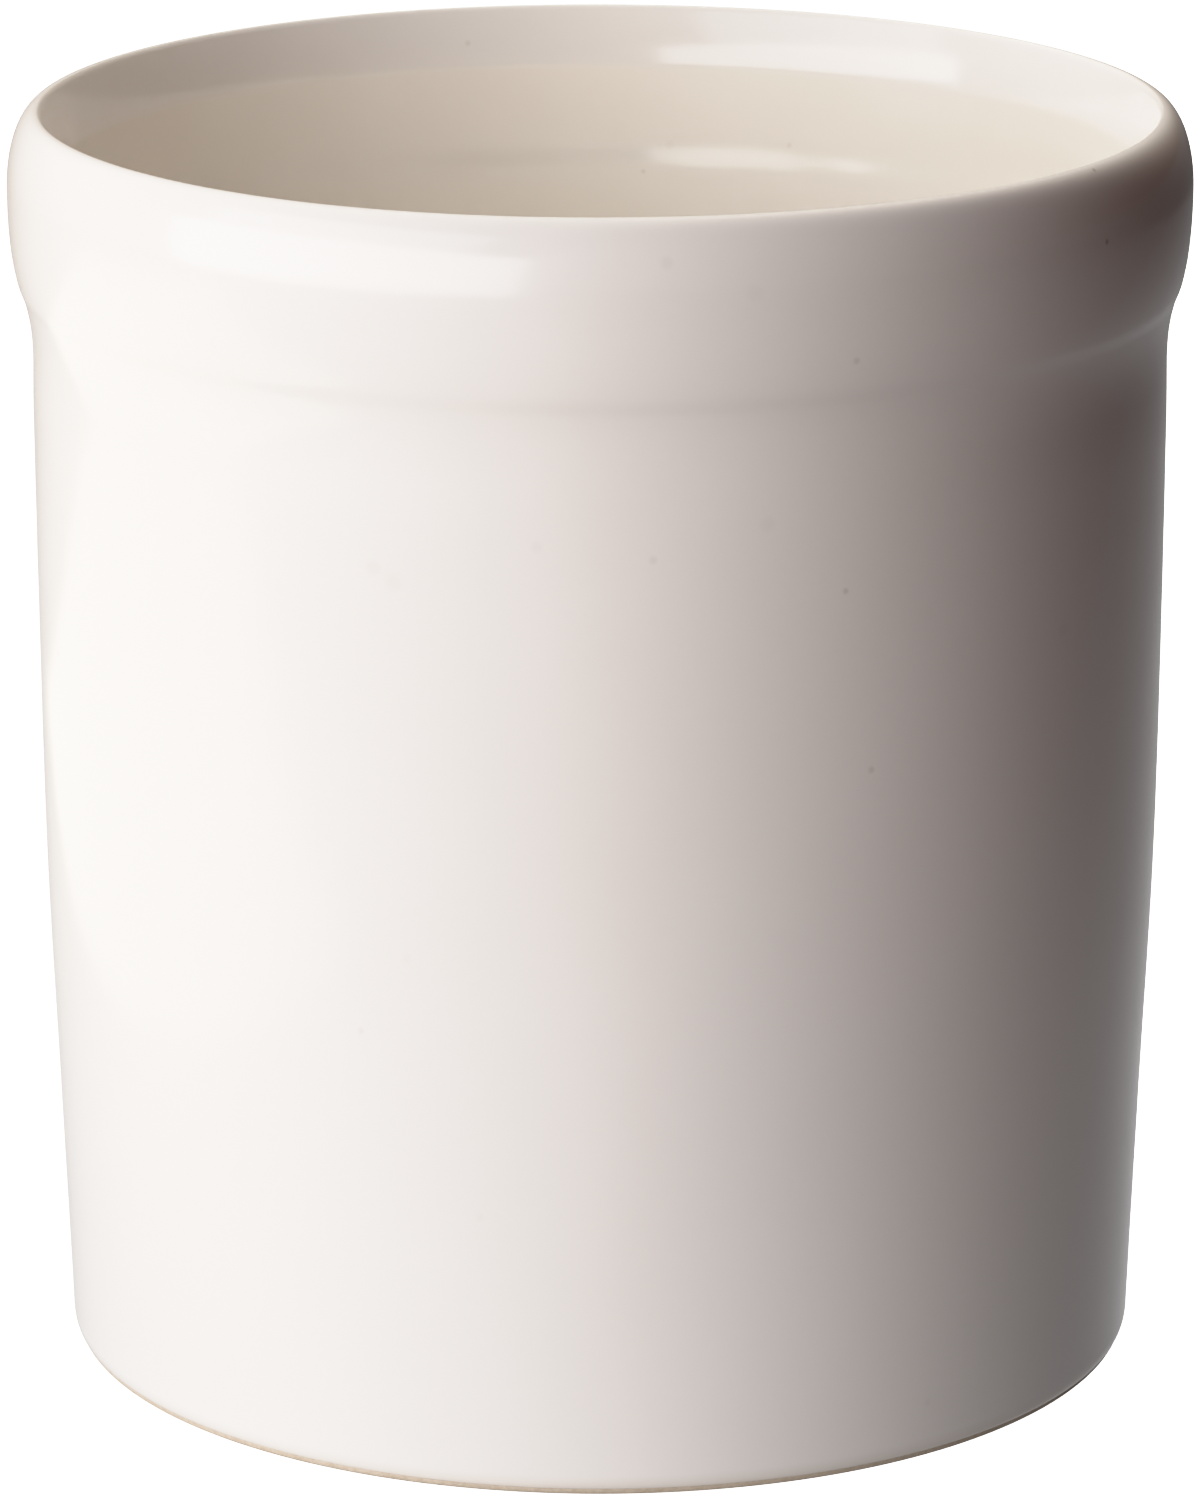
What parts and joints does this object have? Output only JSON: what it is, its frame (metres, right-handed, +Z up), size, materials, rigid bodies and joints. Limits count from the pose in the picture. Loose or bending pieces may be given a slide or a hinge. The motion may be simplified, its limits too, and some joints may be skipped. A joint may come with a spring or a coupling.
{
  "type": "pen holder cup",
  "caption": "Round glazed ceramic desk cup with a thickened collar and rounded lip, open at the top, for pens and pencils.",
  "frame": {"origin": "centre of the foot's resting plane", "axes": "+Z upwards along the cup's axis, towards the open mouth"},
  "size_m": [0.096, 0.096, 0.103],
  "materials": {
    "bare_clay": "matte",
    "white_glaze": "gloss",
    "liner_glaze": "gloss"
  },
  "bodies": {
    "root": {"clay_body": "bare_clay", "outer_glaze": "white_glaze", "inner_glaze": "liner_glaze", "base_glaze": "white_glaze"}
  },
  "joints": []
}
